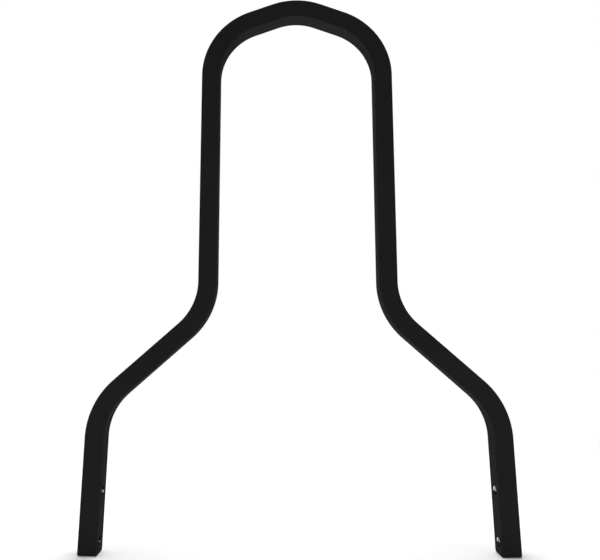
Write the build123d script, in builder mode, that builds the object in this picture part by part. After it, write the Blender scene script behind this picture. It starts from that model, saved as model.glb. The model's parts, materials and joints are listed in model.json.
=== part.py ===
from build123d import *
from math import cos, radians, sin, tan
import os

# Sissy bar: one length of square steel bar, bent flat on one die, and drilled and tapped at its two feet.
# Millimetres. X runs across the seat, Y from the front of the bar to its back, and Z is up.
# The origin is midway between the two feet, level with their cut ends.

# Bar stock
bar_size = 12.7  # across the flats of the square bar
edge_radius = 0.6  # drawn corner that runs the length of the bar
die_radius = 38.1  # inside radius of every bend

# Outline
overall_height = 381.0  # cut ends to the top of the arch
hoop_inside = 109.6  # clear width between the two uprights of the hoop
foot_inside = 257.6  # clear width between the two feet
hip_height = 92.8  # origin to the corner point of the hip bend
leg_splay = 1.25  # lean of each leg, out towards its foot
flare_angle = 48.5  # lean of the sloping run between neck and hip, from upright
arch_angle = 20.0  # rise of each half of the arch, from level

# Feet
end_ease = 1.2  # rounding ground on the edges of the cut ends
hole_rise = 7.94  # cut end to the lower hole, along the leg
hole_pitch = 31.75  # lower hole to upper hole
thread_size = 6.35  # outside diameter of the thread tapped in the holes
thread_room = 0.05  # room all round outside that thread
mouth_chamfer = 0.5  # countersink at both mouths of every hole

# Corner points of the bar's centreline, which lies in the plane Y = 0
half_bar = bar_size / 2
bend_radius = die_radius + half_bar
foot_x = foot_inside / 2 + half_bar
foot_height = (half_bar - end_ease) * sin(radians(leg_splay))  # a leaning end stands on its inner edge
hip_x = foot_x - (hip_height - foot_height) * tan(radians(leg_splay))
hoop_x = hoop_inside / 2 + half_bar
neck_height = hip_height + (hip_x - hoop_x) / tan(radians(flare_angle))
arch_drop = bend_radius * (1 / cos(radians(arch_angle)) - 1)  # the top bend passes under its corner point
arch_height = overall_height - half_bar + arch_drop
shoulder_height = arch_height - hoop_x * tan(radians(arch_angle))

right_half = [
    (foot_x, foot_height),
    (hip_x, hip_height),
    (hoop_x, neck_height),
    (hoop_x, shoulder_height),
]
left_half = [(-x, z) for x, z in reversed(right_half)]
hole_radius = thread_size / 2 + thread_room

os.makedirs("parts", exist_ok=True)

with BuildPart() as bent_bar:
    # Straight runs joined by seven bends of one radius, from the right foot over the arch to the left.
    with BuildLine(Plane.XZ) as centreline:
        path = FilletPolyline(*right_half, (0, arch_height), *left_half, radius=bend_radius)

    # The square section, drawn across the right foot.
    with BuildSketch(Plane(path @ 0, x_dir=(0, 1, 0), z_dir=path % 0)):
        Rectangle(bar_size, bar_size)
    sweep(path=centreline.wire())

    # The cut ends are eased first, then the corners along the front face and the back face.
    cut_ends = bent_bar.faces().sort_by(Axis.Z)[:2]
    fillet(cut_ends.edges(), end_ease)
    flat_sides = bent_bar.faces().filter_by(Axis.Y)
    across_feet = len(flat_sides) * len(cut_ends)  # the lowest edges of those faces, already eased
    fillet(flat_sides.edges().sort_by(Axis.Z)[across_feet:], edge_radius)

    # Two holes through each leg, square to its sides, with both mouths countersunk.
    for side in (1, -1):
        outward = (side * cos(radians(leg_splay)), 0, sin(radians(leg_splay)))
        leg_middle = Plane((side * foot_x, 0, foot_height), x_dir=(0, side, 0), z_dir=outward)
        with Locations(leg_middle.offset(half_bar)):
            with Locations((0, hole_rise), (0, hole_rise + hole_pitch)):
                Hole(hole_radius, depth=bar_size)
        bores = bent_bar.faces(Select.LAST).filter_by(GeomType.CYLINDER)
        chamfer(bores.edges().filter_by(GeomType.CIRCLE), mouth_chamfer)

bent_bar.part.label = "bent_bar"
export_step(bent_bar.part, "parts/bent_bar.step")
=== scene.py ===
import bpy
import json
import math
import numpy as np
from mathutils import Matrix


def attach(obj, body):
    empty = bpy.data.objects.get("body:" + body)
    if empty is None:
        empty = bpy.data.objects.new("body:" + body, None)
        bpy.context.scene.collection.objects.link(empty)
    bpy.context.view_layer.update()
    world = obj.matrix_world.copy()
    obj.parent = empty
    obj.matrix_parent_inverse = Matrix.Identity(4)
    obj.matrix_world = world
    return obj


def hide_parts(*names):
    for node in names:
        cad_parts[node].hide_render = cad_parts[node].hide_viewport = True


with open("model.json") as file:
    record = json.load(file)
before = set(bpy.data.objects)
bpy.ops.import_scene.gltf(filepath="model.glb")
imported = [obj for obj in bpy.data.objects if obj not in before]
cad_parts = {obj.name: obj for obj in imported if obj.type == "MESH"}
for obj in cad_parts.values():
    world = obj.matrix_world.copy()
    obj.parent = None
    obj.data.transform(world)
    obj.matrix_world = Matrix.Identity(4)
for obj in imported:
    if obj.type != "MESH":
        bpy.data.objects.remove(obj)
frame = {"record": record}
bpy.context.view_layer.update()
mounts = {mount["name"]: mount for mount in frame["record"]["mounts"]}


# Small helpers

def spread(marks, step):
    # even places between neighbouring marks, no further apart than the step
    marks = np.asarray(marks, float)
    slack = 1e-6  # so that a run of whole steps doesn't get one more
    counts = np.maximum(np.ceil(np.diff(marks) / step - slack).astype(int), 1)
    runs = [np.linspace(a, b, n, endpoint=False) for a, b, n in zip(marks[:-1], marks[1:], counts)]
    return np.concatenate(runs + [marks[-1:]])


def gridFaces(index):
    # quads between neighbouring rows and columns of an index table
    return np.stack([index[:-1, :-1], index[:-1, 1:], index[1:, 1:], index[1:, :-1]], -1)


def wrap(index):
    # repeats the first column, so that the last quads close the ring
    return np.concatenate([index, index[:, :1]], 1)


def makePiece(name, points, faces, attributes, material):
    # welds equal points, makes triangles of quads that lose a corner, and turns the faces outwards
    digits = 8  # points that agree to a hundredth of a micron are one
    first, welded = np.unique(np.round(points, digits), axis=0, return_index=True, return_inverse=True)[1:]
    points = points[first]
    faces = welded.reshape(-1)[faces]
    # six times the volume, from the two triangles of each quad: below zero, the faces point inwards
    a, b, c, d = (points[faces[:, i]] for i in range(4))
    if np.sum(np.cross(a, b) * c) + np.sum(np.cross(a, c) * d) < 0:
        faces = faces[:, ::-1]
    repeated = faces == np.roll(faces, -1, 1)
    quads = faces[repeated.sum(1) == 0]
    pinched = repeated.sum(1) == 1
    triangles = faces[pinched][~repeated[pinched]].reshape(-1, 3)
    mesh = bpy.data.meshes.new(name)
    mesh.from_pydata(points.tolist(), [], quads.tolist() + triangles.tolist())
    for label, values in attributes.items():
        values = np.asarray(values, np.float32)[first]
        kind, field = ("FLOAT_VECTOR", "vector") if values.ndim == 2 else ("FLOAT", "value")
        mesh.attributes.new(label, kind, "POINT").data.foreach_set(field, values.ravel())
    mesh.polygons.foreach_set("use_smooth", np.ones(len(mesh.polygons), bool))
    mesh.materials.append(material)
    mesh.update()
    piece = bpy.data.objects.new(name, mesh)
    bpy.context.scene.collection.objects.link(piece)
    print("made", name, len(mesh.vertices), "points", len(mesh.polygons), "faces")
    return piece


class NodeDesk:
    # lays out the nodes of a material or of the world, and joins them by their sockets
    def __init__(self, owner):
        owner.use_nodes = True
        self.owner = owner
        self.tree = owner.node_tree
        self.tree.nodes.clear()

    def add(self, kind, settings=None, **inputs):
        # an input goes by its socket's name, with _ for a space, or by its number, as in i0
        node = self.tree.nodes.new(kind)
        for key, value in (settings or {}).items():
            setattr(node, key, value)
        for key, value in inputs.items():
            numbered = key[0] == "i" and key[1:].isdigit()
            socket = node.inputs[int(key[1:]) if numbered else key.replace("_", " ")]
            if isinstance(value, bpy.types.NodeSocket):
                self.tree.links.new(value, socket)
            else:
                socket.default_value = value
        return node

    def attribute(self, name, output):
        return self.add("ShaderNodeAttribute", {"attribute_name": name}).outputs[output]

    def noise(self, place, scale, detail, roughness):
        node = self.add("ShaderNodeTexNoise", Vector=place, Scale=scale, Detail=detail, Roughness=roughness)
        return node.outputs["Fac"]

    def between(self, value, low, high, toLow=0.0, toHigh=1.0):
        # smooth step of a value from one range to another
        node = self.add("ShaderNodeMapRange", {"interpolation_type": "SMOOTHSTEP"}, Value=value,
                        From_Min=low, From_Max=high, To_Min=toLow, To_Max=toHigh)
        return node.outputs[0]

    def combine(self, kind, a, b):
        return self.add("ShaderNodeMath", {"operation": kind}, i0=a, i1=b).outputs[0]

    def mixColours(self, share, first, second):
        return self.add("ShaderNodeMix", {"data_type": "RGBA"}, i0=share, i6=first, i7=second).outputs[2]

    def bump(self, height, depth, **under):
        return self.add("ShaderNodeBump", Height=height, Distance=depth, Strength=1.0, **under).outputs[0]

    def seen(self):
        # 1 for rays from the camera, and for those that are mirrored or let through
        rays = self.add("ShaderNodeLightPath").outputs
        direct = self.combine("MAXIMUM", rays["Is Camera Ray"], rays["Is Glossy Ray"])
        return self.combine("MAXIMUM", direct, rays["Is Transmission Ray"])

    def finish(self, shader, output="ShaderNodeOutputMaterial"):
        self.tree.links.new(shader, self.add(output).inputs["Surface"])
        return self.owner


# Black coat of the bar

coat = {
    "colour": (0.0295, 0.0295, 0.0298, 1),
    "pitColour": (0.0212, 0.0212, 0.0215, 1),
    "thinColour": (0.0480, 0.0472, 0.0460, 1),
    "gloss": 0.003,
    "roughness": (0.66, 0.80),
    # noises as scale, detail and roughness, and how deep they stand in metres
    "grain": (1900.0, 2.0, 0.5),
    "grainDepth": 0.000030,
    "peel": (420.0, 1.0, 0.4),
    "peelDepth": 0.000030,
    "lines": (1.0, 3.0, 0.6),
    "lineScale": (1600.0, 1600.0, 9.0),  # two ways across the bar, and along it
    "lineDepth": 0.000003,
    "cloud": (24.0, 3.0, 0.55),
    "fleck": (340.0, 4.0, 0.6),
    # shares and ranges that turn the noises into colour and roughness
    "pitCloud": 0.25,
    "pitRange": (0.70, 0.46),
    "fleckRange": (0.38, 0.66),
    "fleckShare": (0.35, 1.0),
    "thinRange": (0.25, 0.95),
    "thinPolish": 0.08,
    "roughLines": 0.35,
    "roughRange": (0.45, 0.9),
}


def makeCoat(coat):
    desk = NodeDesk(bpy.data.materials.new("black_coat"))
    place = desk.add("ShaderNodeTexCoord").outputs["Object"]
    straight = desk.attribute("straightBar", "Vector")
    edge = desk.attribute("edge", "Fac")
    # fine grain and orange peel of the cured powder, and drawing lines of the bar that show faintly through
    grain = desk.noise(place, *coat["grain"])
    peel = desk.noise(place, *coat["peel"])
    drawn = desk.add("ShaderNodeMapping", Vector=straight, Scale=coat["lineScale"]).outputs[0]
    lines = desk.noise(drawn, *coat["lines"])
    cloud = desk.noise(place, *coat["cloud"])
    fleck = desk.noise(place, *coat["fleck"])
    # the pits of the grain are darker, and the coat draws thin on the corners, unevenly
    pitted = desk.combine("ADD", grain, desk.combine("MULTIPLY", cloud, coat["pitCloud"]))
    pit = desk.between(pitted, *coat["pitRange"])
    uneven = desk.between(fleck, *coat["fleckRange"], *coat["fleckShare"])
    thin = desk.between(desk.combine("MULTIPLY", edge, uneven), *coat["thinRange"])
    colour = desk.mixColours(pit, coat["colour"], coat["pitColour"])
    colour = desk.mixColours(thin, colour, coat["thinColour"])
    clouded = desk.combine("ADD", cloud, desk.combine("MULTIPLY", lines, coat["roughLines"]))
    rough = desk.between(clouded, *coat["roughRange"], *coat["roughness"])
    rough = desk.combine("SUBTRACT", rough, desk.combine("MULTIPLY", thin, coat["thinPolish"]))
    bumps = desk.bump(lines, coat["lineDepth"])
    bumps = desk.bump(peel, coat["peelDepth"], Normal=bumps)
    bumps = desk.bump(grain, coat["grainDepth"], Normal=bumps)
    skin = desk.add("ShaderNodeBsdfPrincipled", Base_Color=colour, Roughness=rough, Normal=bumps,
                    Specular_IOR_Level=coat["gloss"])
    return desk.finish(skin.outputs[0])


# Bare metal of the tapped holes

steel = {
    "colour": (0.74, 0.74, 0.73, 1),
    "stainColour": (0.30, 0.29, 0.275, 1),
    "gloss": 0.02,
    "roughness": (0.22, 0.42),
    # noises as scale, detail and roughness, and the ranges that they work in
    "marks": (1.0, 3.0, 0.6),
    "markScale": (9000.0, 9000.0, 1.2),  # along the bore, out from its axis, and round it
    "markRange": (0.3, 0.7),
    "markDepth": 0.000008,
    "cloud": (700.0, 3.0, 0.6),
    "stainRange": (0.45, 0.72),
    "bareGlintCloud": 0.5,
    "bareGlintRange": (0.65, 0.85),
}


def makeSteel(steel, coat):
    desk = NodeDesk(bpy.data.materials.new("bare_steel"))
    place = desk.add("ShaderNodeTexCoord").outputs["Object"]
    # tool marks that run round the bore, and stains
    cut = desk.attribute("cutPlace", "Vector")
    cut = desk.add("ShaderNodeMapping", Vector=cut, Scale=steel["markScale"]).outputs[0]
    marks = desk.noise(cut, *steel["marks"])
    cloud = desk.noise(place, *steel["cloud"])
    stain = desk.between(cloud, *steel["stainRange"])
    colour = desk.mixColours(stain, steel["colour"], steel["stainColour"])
    rough = desk.between(marks, *steel["markRange"], *steel["roughness"])
    # coat that has run into the thread, rubbed off by the bolt in a band of each bore, most on the crests;
    # the band's height and amount per hole are a painted highlight, placed where the glint falls, and the
    # coat colour left above and below it is painted shade
    rubbedAndGlint = desk.attribute("rubbedAndGlint", "Fac")
    rubbedAndGlint = desk.combine("ADD", rubbedAndGlint, desk.combine("MULTIPLY", cloud, steel["bareGlintCloud"]))
    bareAndGlint = desk.between(rubbedAndGlint, *steel["bareGlintRange"])
    colour = desk.mixColours(bareAndGlint, coat["colour"], colour)
    coatRough = coat["roughness"][0]
    rough = desk.add("ShaderNodeMix", {"data_type": "FLOAT"}, i0=bareAndGlint, i2=coatRough, i3=rough).outputs[0]
    bumps = desk.bump(marks, steel["markDepth"])
    metal = desk.add("ShaderNodeBsdfPrincipled", Base_Color=colour, Roughness=rough, Normal=bumps,
                     Metallic=bareAndGlint, Specular_IOR_Level=steel["gloss"])
    return desk.finish(metal.outputs[0])


blackCoat = makeCoat(coat)
bareSteel = makeSteel(steel, coat)
print("materials made")


# The bent bar

bar = {
    # sizes of the solid that it stands for, in metres and degrees
    "side": 0.0127,
    "cornerRadius": 0.0006,
    "dieRadius": 0.0381,
    "height": 0.381,
    "hoopInside": 0.1096,
    "footInside": 0.2576,
    "hipHeight": 0.0928,
    "legSplay": 1.25,
    "flareAngle": 48.5,
    "archAngle": 20.0,
    "endEase": 0.0012,
    "holeRise": 0.00794,
    "holePitch": 0.03175,
    "boreRadius": 0.003225,
    "mouthChamfer": 0.0005,
    # fine forms of the cut ends and of the hole mouths, with the wear of the coat on them from 0 to 1
    "endCornerLoss": 0.5,  # share of the corner radius that goes at the cut end
    "capRings": (0.97, 0.8, 0.55, 0.28, 0.0),  # sizes of the rings that close the cut end
    "faceRings": (0.3, 0.6, 0.85),  # flat rings round a hole, as shares of the way in from its patch
    "mouthRings": (0.0004, 0.0002),  # and two more, this far outside the mouth
    "lipStart": 0.000096,  # the lip begins this far outside the mouth
    "lipRadius": 0.000144,
    "lipAngle": 45.0,
    "lipWear": (0.3, 0.8, 1.0, 0.8),  # one for each ring of the lip
    "softWidth": 0.00004,  # softened edge between countersink and bore
    "softDepth": 0.00003,
    "boreRow": 0.0015,  # depth of the last ring of a mouth
    "boreWear": (0.5, 0.0, 0.0),  # for the two rings of that edge, and for the last one
    # spacing of the rows along the bar and of the columns round it
    "runStep": 0.004,
    "bendStep": 1.5,
    "footStep": 0.0016,  # from the rounded end to the lower hole
    "firstStep": 0.0002,  # right after the rounded end
    "easeRows": 8,
    "cornerSteps": 8,
    "flatSteps": 16,
    "flatShare": 0.96,  # part of a flat side that the even columns take
    "patchSteps": 14,  # rows of the square patch round each hole
    "patchHalf": 0.0046,
}


def holePlaces(bar):
    # middles of the two holes, along the leg from its cut end
    return bar["holeRise"] + np.array([0, bar["holePitch"]])


def legStations(bar, runEnd):
    # places along the leg: the rounded end, then even steps, with a finer even patch at each hole
    ease = bar["endEase"] * (1 - np.cos(np.radians(np.linspace(0, 90, bar["easeRows"]))))
    low = holePlaces(bar) - bar["patchHalf"]
    high = holePlaces(bar) + bar["patchHalf"]
    rows = bar["patchSteps"] + 1
    places = np.concatenate([
        ease,
        spread([ease[-1], ease[-1] + bar["firstStep"], low[0]], bar["footStep"])[1:],
        np.linspace(low[0], high[0], rows)[1:],
        spread([high[0], low[1]], bar["runStep"])[1:],
        np.linspace(low[1], high[1], rows)[1:],
        spread([high[1], runEnd], bar["runStep"])[1:],
    ])
    patchStarts = [int(np.argmin(np.abs(places - start))) for start in low]
    return places, patchStarts


def halfCentreline(bar):
    # straight runs from the right foot to the top of the arch, and arcs of one radius that join them smoothly
    half = bar["side"] / 2
    radius = bar["dieRadius"] + half
    splay, flare, arch = np.radians([bar["legSplay"], bar["flareAngle"], bar["archAngle"]])
    footX, hoopX = bar["footInside"] / 2 + half, bar["hoopInside"] / 2 + half
    footZ = (half - bar["endEase"]) * math.sin(splay)  # a leaning end stands on its inner edge
    hipX = footX - (bar["hipHeight"] - footZ) * math.tan(splay)
    neckZ = bar["hipHeight"] + (hipX - hoopX) / math.tan(flare)
    topZ = bar["height"] - half + radius * (1 / math.cos(arch) - 1)  # the top bend passes under its corner
    shoulderZ = topZ - hoopX * math.tan(arch)
    corners = np.array([
        [footX, footZ],
        [hipX, bar["hipHeight"]],
        [hoopX, neckZ],
        [hoopX, shoulderZ],
        [0, topZ],
        [-hoopX, shoulderZ],
    ])
    runs = np.diff(corners, axis=0)
    lengths = np.linalg.norm(runs, axis=1)
    ways = runs / lengths[:, None]
    # a bend turns by the angle between its runs, and takes the radius times tan(angle / 2) off each of them
    crossed = ways[:-1, 0] * ways[1:, 1] - ways[:-1, 1] * ways[1:, 0]
    turns = np.arctan2(crossed, np.sum(ways[:-1] * ways[1:], 1))
    tangents = np.concatenate([[0], radius * np.tan(np.abs(turns) / 2)])
    turns[-1] /= 2  # the bend at the top is cut in its middle
    runLengths = lengths[:-1] - tangents[:-1] - tangents[1:]
    legPlaces, patchStarts = legStations(bar, runLengths[0])
    places, directions, along = [], [], []
    passed = 0.0
    for k, (way, runLength, turn) in enumerate(zip(ways, runLengths, turns)):
        steps = legPlaces if k == 0 else spread([0, runLength], bar["runStep"])
        begin = corners[k] + way * tangents[k]
        places.append(begin + steps[:, None] * way)
        directions.append(np.repeat(way[None], len(steps), 0))
        along.append(passed + steps)
        passed += runLength
        # in a bend the direction turns evenly, and the place keeps its distance to the bend's centre
        angles = spread([0, abs(turn)], math.radians(bar["bendStep"]))[1:] * np.sign(turn)
        cosA, sinA = np.cos(angles), np.sin(angles)
        turned = np.stack([cosA * way[0] - sinA * way[1], sinA * way[0] + cosA * way[1]], 1)
        toCentre = np.sign(turn) * np.array([-way[1], way[0]])
        turnedToCentre = np.sign(turn) * np.stack([-turned[:, 1], turned[:, 0]], 1)
        places.append(begin + runLength * way + radius * (toCentre - turnedToCentre))
        directions.append(turned)
        along.append(passed + radius * np.abs(angles))
        passed += radius * abs(turn)
    return np.concatenate(places), np.concatenate(directions), np.concatenate(along), patchStarts


def squareRing(bar):
    # a rounded square in two parts: a point is the core's size times core plus the radius times rounding
    flat = np.linspace(-bar["flatShare"], bar["flatShare"], bar["flatSteps"] + 1)
    arc = np.radians(np.linspace(0, 90, bar["cornerSteps"] + 1))
    one = np.ones_like(flat)
    core = np.concatenate([np.stack([one, flat], 1), np.ones((len(arc), 2))])
    rounding = np.concatenate([np.stack([one, 0 * one], 1), np.stack([np.cos(arc), np.sin(arc)], 1)])
    wear = np.concatenate([0 * one, 1 - np.abs(np.linspace(-1, 1, len(arc)))])
    # one side and its corner, turned to all four sides: outer, back, inner and front
    quarterTurn = np.array([[0, 1], [-1, 0]])
    turns = [np.linalg.matrix_power(quarterTurn, k) for k in range(4)]
    core, rounding = (np.concatenate([part @ turn for turn in turns]) for part in (core, rounding))
    return core, rounding, np.tile(wear, len(turns))


def holeProfile(bar):
    # radius, depth and wear from the flat side inwards: flat rings, a rounded lip, the countersink, the bore
    bore, chamfer = bar["boreRadius"], bar["mouthChamfer"]
    mouth = bore + chamfer
    bend = np.radians(np.linspace(0, bar["lipAngle"], len(bar["lipWear"])))
    lip = mouth + bar["lipStart"] - bar["lipRadius"] * np.sin(bend)
    lipDepth = bar["lipRadius"] * (1 - np.cos(bend))
    flat = np.zeros(len(bar["mouthRings"]))
    radius = np.concatenate([mouth + np.array(bar["mouthRings"]), lip, [bore + bar["softWidth"], bore, bore]])
    inBore = [chamfer - bar["softDepth"], chamfer + bar["softDepth"], bar["boreRow"]]
    depth = np.concatenate([flat, lipDepth, inBore])
    wear = np.concatenate([flat, bar["lipWear"], bar["boreWear"]])
    return radius, depth, wear


def patchRim(bar):
    # rows and columns of the points round the patch that a hole takes out of the grid
    up, over = np.arange(bar["patchSteps"] + 1), np.arange(bar["flatSteps"] + 1)
    rows = np.concatenate([0 * over[:-1], up[:-1], 0 * over[:0:-1] + up[-1], up[:0:-1]])
    columns = np.concatenate([over[:-1], 0 * up[:-1] + over[-1], over[:0:-1], 0 * up[:0:-1]])
    return rows, columns


def holeRings(bar, rimRise, rimSide):
    # rings from the rim of a patch in to the round mouth, through the bore, and out again on the other side
    half = bar["side"] / 2
    radius, depth, wear = holeProfile(bar)
    angle = np.arctan2(rimSide, rimRise)
    roundRise, roundSide = np.cos(angle), np.sin(angle)
    share = np.array(bar["faceRings"])[:, None]
    flatRise = (1 - share) * rimRise + share * radius[0] * roundRise
    flatSide = (1 - share) * rimSide + share * radius[0] * roundSide
    rise = np.concatenate([flatRise, radius[:, None] * roundRise])
    side = np.concatenate([flatSide, radius[:, None] * roundSide])
    level = np.zeros(len(share))
    depth = np.concatenate([level, depth])[:, None] + 0 * rise
    wear = np.concatenate([level, wear])[:, None] + 0 * rise
    out = np.concatenate([half - depth, -half + depth[::-1]])
    rise, side, wear = (np.concatenate([rings, rings[::-1]]) for rings in (rise, side, wear))
    return np.stack([out, side, rise], -1), wear


def barHalf(bar):
    # the square carried along the right half of the centreline, with a closed foot and two holes in the leg
    place, way, along, patchStarts = halfCentreline(bar)
    outward = np.stack([way[:, 1], -way[:, 0]], 1)
    core, rounding, cornerWear = squareRing(bar)
    # the rounded end: the section is drawn in by a quarter circle over the last stretch of the leg
    reach = np.clip(along / bar["endEase"], 0, 1)
    drawnIn = bar["endEase"] * (1 - np.sqrt(1 - (1 - reach) ** 2))
    corner = bar["cornerRadius"] * (1 - bar["endCornerLoss"] * drawnIn / bar["endEase"])
    coreSize = bar["side"] / 2 - drawnIn - corner
    across = coreSize[:, None, None] * core + corner[:, None, None] * rounding
    endWear = np.sin(np.pi * reach ** 0.5) ** 2

    inPlane = place[:, None] + across[..., :1] * outward[:, None]
    alongRows = np.repeat(along[:, None, None], len(core), 1)
    points = [np.stack([inPlane[..., 0], across[..., 1], inPlane[..., 1]], -1).reshape(-1, 3)]
    straight = [np.concatenate([across, alongRows], -1).reshape(-1, 3)]
    wear = [np.maximum(cornerWear, endWear[:, None]).reshape(-1)]
    index = np.arange(wear[0].size).reshape(across.shape[:2])
    quads = gridFaces(wrap(index))

    def addOnLeg(rings, ringWear):
        # rings of points on the leg, given as outwards, to the back, and along it from the cut end
        count = sum(len(part) for part in points)
        base = place[0] + rings[..., 2:] * way[0] + rings[..., :1] * outward[0]
        points.append(np.stack([base[..., 0], rings[..., 1], base[..., 1]], -1).reshape(-1, 3))
        straight.append(rings.reshape(-1, 3))
        wear.append(ringWear.reshape(-1))
        return count + np.arange(ringWear.size).reshape(ringWear.shape)

    # the cut end closes in rings that shrink to its middle
    cap = np.array(bar["capRings"])[:, None, None] * across[0]
    level = np.zeros(cap.shape[:2])
    capIndex = addOnLeg(np.concatenate([cap, level[..., None]], -1), level)
    faces = [gridFaces(wrap(np.concatenate([index[:1], capIndex])))[:, :, ::-1].reshape(-1, 4)]

    # each hole takes a patch out of the outer and the inner side, and its rings join the two rims
    opened = np.zeros(quads.shape[:2], bool)
    patch, flat = bar["patchSteps"], bar["flatSteps"]
    firstInner = 2 * (flat + 1 + bar["cornerSteps"] + 1)  # first column of the inner side
    rimRows, rimColumns = patchRim(bar)
    for start, hole in zip(patchStarts, holePlaces(bar)):
        opened[start:start + patch, :flat] = True
        opened[start:start + patch, firstInner:firstInner + flat] = True
        outerRim = index[start + rimRows, rimColumns]
        innerRim = index[start + rimRows, firstInner + flat - rimColumns]
        rings, ringWear = holeRings(bar, along[start + rimRows] - hole, across[start, rimColumns, 1])
        inside = addOnLeg(rings + np.array([0, 0, hole]), ringWear)
        table = np.concatenate([outerRim[None], inside, innerRim[None]])
        faces.append(gridFaces(wrap(table)).reshape(-1, 4))
    faces = np.concatenate([quads[~opened]] + faces)
    return np.concatenate(points), np.concatenate(straight), np.concatenate(wear), faces, along[-1]


def makeBar(bar, material):
    points, straight, wear, faces, length = barHalf(bar)
    # the left half is the mirror image, with its faces turned over and its length counted on from the top
    mirrored = points * np.array([-1, 1, 1])
    carried = np.stack([straight[:, 0], straight[:, 1], 2 * length - straight[:, 2]], 1)
    faces = np.concatenate([faces, faces[:, ::-1] + len(points)])
    attributes = {"straightBar": np.concatenate([straight, carried]), "edge": np.concatenate([wear, wear])}
    piece = makePiece("coated_bar", np.concatenate([points, mirrored]), faces, attributes, material)
    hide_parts("bent_bar")
    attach(piece, "root")


makeBar(bar, blackCoat)


# Threads of the four tapped holes

thread = {
    "pitch": 0.00127,
    "crestRadius": 0.00256,
    "rootRadius": 0.00316,
    "flankAngle": 60.0,  # slope of a flank, from the axis
    "crestShare": 0.125,  # half the width of a crest, in pitches
    "mouthStart": 0.00045,
    "skinGap": 0.000012,  # room between the thread and the bar's own bore
    "turnSteps": 64,
    "pitchSteps": 16,
    "backRows": 12,
    # bare metal of each thread, set per hole as a painted highlight, more on the right leg than on the left:
    # its amount, and its height in the bore, from -1 at the bottom to 1 at the top
    "rubbedAndGlint": {
        "right_upper": (1.02, 0.35),
        "right_lower": (0.96, 0.27),
        "left_upper": (0.74, -0.48),
        "left_lower": (0.59, -0.42),
    },
    "glintFall": 0.9,  # how fast it ends above and below that height
    "rubbedCrest": 0.25,  # how much more there is on a crest than in a root
}


def makeThread(name, middle, axis, rubbedAndGlint, bar, thread, material):
    # radius over length and angle: a groove wound to the right, cut back by a cone at each mouth
    length, pitch, gap = bar["side"], thread["pitch"], thread["skinGap"]
    crest, root = thread["crestRadius"], thread["rootRadius"]
    mouth = bar["boreRadius"] + bar["mouthChamfer"]
    u = spread([thread["mouthStart"], length - thread["mouthStart"]], pitch / thread["pitchSteps"])[:, None]
    theta = np.linspace(0, 2 * np.pi, thread["turnSteps"], endpoint=False)[None]
    fromCrest = np.abs((u / pitch - theta / (2 * np.pi)) % 1 - 0.5) * pitch
    flank = (fromCrest - pitch * thread["crestShare"]) * math.tan(math.radians(thread["flankAngle"]))
    cone = mouth - np.minimum(u, length - u)
    outer = np.maximum(bar["boreRadius"], cone) - gap + 0 * theta
    inner = np.maximum(crest + np.clip(flank, 0, root - crest), cone - 2 * gap)
    inner = np.minimum(inner, outer - gap)
    # the cut side first, then the back side on fewer rows, from the far mouth to the near one
    backRows = np.linspace(0, len(u) - 1, thread["backRows"]).astype(int)[::-1]
    radius = np.concatenate([inner, outer[backRows]])
    where = np.concatenate([u, u[backRows]]) + 0 * theta
    side = np.array([0.0, 1.0, 0.0])
    upright = np.cross(axis, side)
    ring = np.cos(theta)[..., None] * side + np.sin(theta)[..., None] * upright
    points = middle + (where - length / 2)[..., None] * axis + radius[..., None] * ring
    index = wrap(np.arange(where.size).reshape(where.shape))
    index = np.concatenate([index, index[:1]])
    cut = np.stack([where, radius, theta + 0 * where], -1)
    # bare and painted-highlight share: the amount, less with the distance from its height in the bore, and
    # more on the crests
    amount, height = rubbedAndGlint
    onCrest = np.clip((root - radius) / (root - crest), 0, 1)
    share = amount - thread["glintFall"] * np.abs(ring[..., 2] - height)
    share = share + thread["rubbedCrest"] * (onCrest - 0.5)
    attributes = {"cutPlace": cut.reshape(-1, 3), "rubbedAndGlint": share.reshape(-1)}
    piece = makePiece(name, points.reshape(-1, 3), gridFaces(index).reshape(-1, 4), attributes, material)
    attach(piece, "root")


for legName in ("right", "left"):
    mount = mounts[legName + "_leg_bolts"]
    axis = np.array(mount["axis"]) / np.linalg.norm(mount["axis"])
    upLeg = np.array([-axis[2], 0, axis[0]]) * np.sign(axis[0])
    holePitch = mount["dims"]["spacing_y_mm"] / 1000  # in metres
    for rowName, step in (("lower", -0.5), ("upper", 0.5)):
        middle = np.array(mount["pos_m"]) + step * holePitch * upLeg
        holeName = f"{legName}_{rowName}"
        makeThread(holeName + "_thread", middle, axis, thread["rubbedAndGlint"][holeName], bar, thread, bareSteel)


# Floor, world and lamps

floor = {
    "size": 12.0,
    "drop": 0.0001,  # just under the feet
    "colour": (0.80, 0.80, 0.80, 1),
    "lift": 0.16,  # brings the lit floor up to white in the picture
    "fadeFrom": 0.2,  # plain white takes over between these distances
    "fadeTo": 0.7,
}


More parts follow.
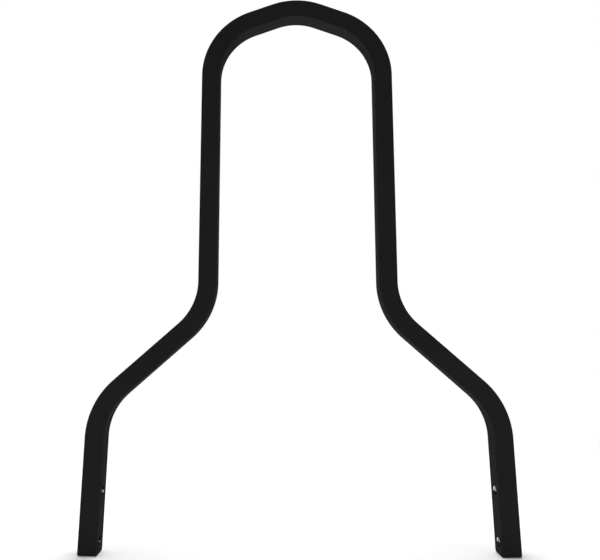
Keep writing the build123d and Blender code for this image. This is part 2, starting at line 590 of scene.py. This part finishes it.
def makeFloor(floor):
    desk = NodeDesk(bpy.data.materials.new("pale_floor"))
    place = desk.add("ShaderNodeTexCoord").outputs["Object"]
    distance = desk.add("ShaderNodeVectorMath", {"operation": "LENGTH"}, i0=place).outputs["Value"]
    far = desk.between(distance, floor["fadeFrom"], floor["fadeTo"])
    seen = desk.seen()
    paint = desk.add("ShaderNodeBsdfDiffuse", Color=floor["colour"]).outputs[0]
    lift = desk.add("ShaderNodeEmission", Strength=desk.combine("MULTIPLY", seen, floor["lift"])).outputs[0]
    near = desk.add("ShaderNodeAddShader", i0=paint, i1=lift).outputs[0]
    white = desk.add("ShaderNodeEmission", Strength=1.0).outputs[0]
    share = desk.combine("MULTIPLY", far, seen)
    mixed = desk.add("ShaderNodeMixShader", i0=share, i1=near, i2=white).outputs[0]
    half, level = floor["size"] / 2, -floor["drop"]
    corners = [(-half, -half, level), (half, -half, level), (half, half, level), (-half, half, level)]
    mesh = bpy.data.meshes.new("floor")
    mesh.from_pydata(corners, [], [(0, 1, 2, 3)])
    mesh.materials.append(desk.finish(mixed))
    piece = bpy.data.objects.new("floor", mesh)
    bpy.context.scene.collection.objects.link(piece)


world = {
    "colour": (1, 1, 1, 1),
    "light": 0.06,
}


def makeWorld(world):
    # an even soft light, seen as plain white
    desk = NodeDesk(bpy.data.worlds.new("studio"))
    light = desk.add("ShaderNodeBackground", Color=world["colour"], Strength=world["light"]).outputs[0]
    white = desk.add("ShaderNodeBackground", Color=world["colour"], Strength=1.0).outputs[0]
    mixed = desk.add("ShaderNodeMixShader", i0=desk.seen(), i1=light, i2=white).outputs[0]
    bpy.context.scene.world = desk.finish(mixed, "ShaderNodeOutputWorld")


lamps = {
    "key": {"place": (-1.6, 0.1, 0.6), "aim": (0, 0, 0.15), "size": 1.0, "power": 4.0},
    "top": {"place": (0.0, 0.25, 1.6), "aim": (0, 0.1, 0.0), "size": 1.3, "power": 33.0},
    "fill": {"place": (1.0, -1.3, 0.2), "aim": (0, 0, 0.1), "size": 1.2, "power": 1.2},
}


def aimed(place, aim):
    # a lamp shines down its own -Z, so +Z points from the aim to the place
    place = np.array(place)
    back = (place - np.array(aim)) / np.linalg.norm(place - np.array(aim))
    steep = abs(back[2]) > 0.95  # too near to upright to be crossed with Z
    right = np.cross((0.0, 1.0, 0.0) if steep else (0.0, 0.0, 1.0), back)
    right /= np.linalg.norm(right)
    turned = np.eye(4)
    turned[:3] = np.stack([right, np.cross(back, right), back, place], 1)
    return Matrix(turned.tolist())


def makeLamp(name, lamp):
    data = bpy.data.lights.new(name, "AREA")
    data.shape, data.size, data.energy = "DISK", lamp["size"], lamp["power"]
    piece = bpy.data.objects.new(name, data)
    piece.matrix_world = aimed(lamp["place"], lamp["aim"])
    piece.visible_camera = False
    bpy.context.scene.collection.objects.link(piece)


makeFloor(floor)
makeWorld(world)
for name, lamp in lamps.items():
    makeLamp(name, lamp)
print("floor, world and lamps made")


# Camera at the photograph's viewing angle

view = {
    "place": (-0.015281, -0.407601, 0.133445),
    "lens": 35.796,  # in millimetres, as the sensor
    "sensor": 36.0,
    "yaw": 0.0063,  # angles in radians
    "pitch": 0.14026,
    "roll": 0.00153,
    "shift": (0.04745, -0.03152),
    "clip": (0.01, 50.0),
}


def makeCamera(view):
    data = bpy.data.cameras.new("camera")
    data.lens, data.sensor_width, data.sensor_fit = view["lens"], view["sensor"], "HORIZONTAL"
    data.shift_x, data.shift_y = view["shift"]
    data.clip_start, data.clip_end = view["clip"]
    camera = bpy.data.objects.new("camera", data)
    turned = Matrix.Rotation(view["yaw"], 4, "Z")
    turned = turned @ Matrix.Rotation(math.pi / 2 + view["pitch"], 4, "X")
    turned = turned @ Matrix.Rotation(view["roll"], 4, "Z")
    camera.matrix_world = Matrix.Translation(view["place"]) @ turned
    bpy.context.scene.collection.objects.link(camera)
    bpy.context.scene.camera = camera


makeCamera(view)
bpy.context.scene.view_settings.view_transform = "Standard"
print("camera made")

bpy.context.view_layer.update()
